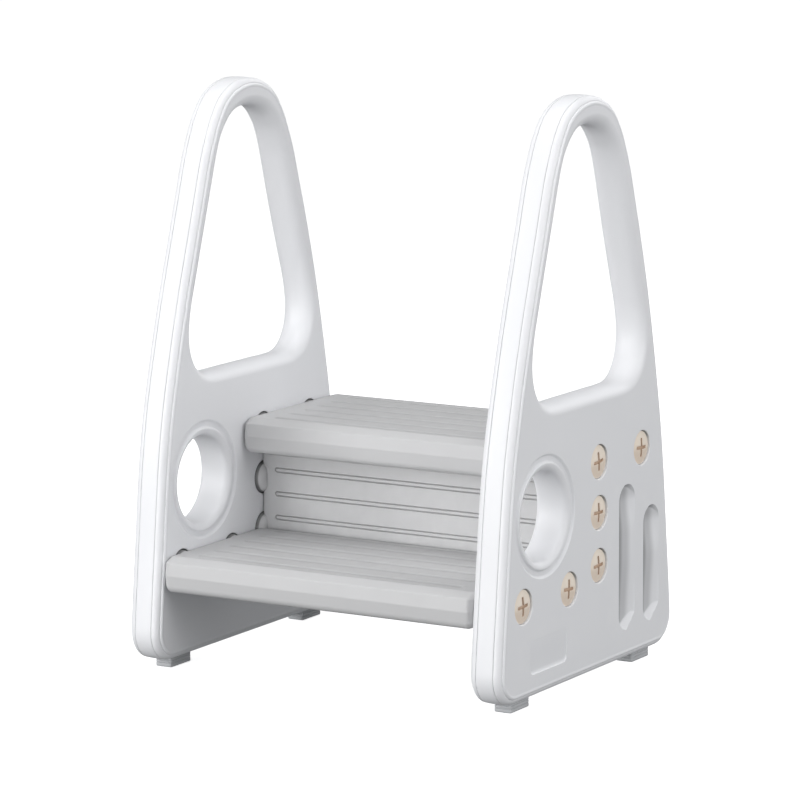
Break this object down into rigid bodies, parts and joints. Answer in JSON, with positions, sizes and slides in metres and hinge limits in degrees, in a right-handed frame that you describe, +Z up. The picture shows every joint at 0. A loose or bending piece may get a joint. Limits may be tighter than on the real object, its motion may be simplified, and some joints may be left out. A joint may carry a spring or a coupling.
{
  "type": "step stool",
  "caption": "Two-step stool for a small child: hollow side panels with handrail arches and portholes carry ribbed treads and a riser on rubber feet.",
  "frame": {"origin": "on the floor, below the middle of the stool's bounding box", "axes": "+X across the stool towards its right panel as seen from the front, +Y from the front towards the back, +Z up"},
  "size_m": [0.441, 0.3686, 0.6],
  "materials": {
    "panel_plastic": "fine matt moulded polyethylene, white",
    "tread_plastic": "fine matt moulded polyethylene, mid grey",
    "screw_plastic": "satin moulded nylon, beige",
    "foot_rubber": "matt light grey rubber"
  },
  "bodies": {
    "root": {"left_side_panel": "panel_plastic", "right_side_panel": "panel_plastic", "lower_tread": "tread_plastic", "upper_tread": "tread_plastic", "riser_board": "tread_plastic", "left_lower_tread_front_screw": "screw_plastic", "left_lower_tread_rear_screw": "screw_plastic", "left_riser_lower_screw": "screw_plastic", "left_riser_upper_screw": "screw_plastic", "left_upper_tread_front_screw": "screw_plastic", "left_upper_tread_rear_screw": "screw_plastic", "right_lower_tread_front_screw": "screw_plastic", "right_lower_tread_rear_screw": "screw_plastic", "right_riser_lower_screw": "screw_plastic", "right_riser_upper_screw": "screw_plastic", "right_upper_tread_front_screw": "screw_plastic", "right_upper_tread_rear_screw": "screw_plastic", "left_front_foot": "foot_rubber", "left_rear_foot": "foot_rubber", "right_front_foot": "foot_rubber", "right_rear_foot": "foot_rubber"}
  },
  "joints": []
}
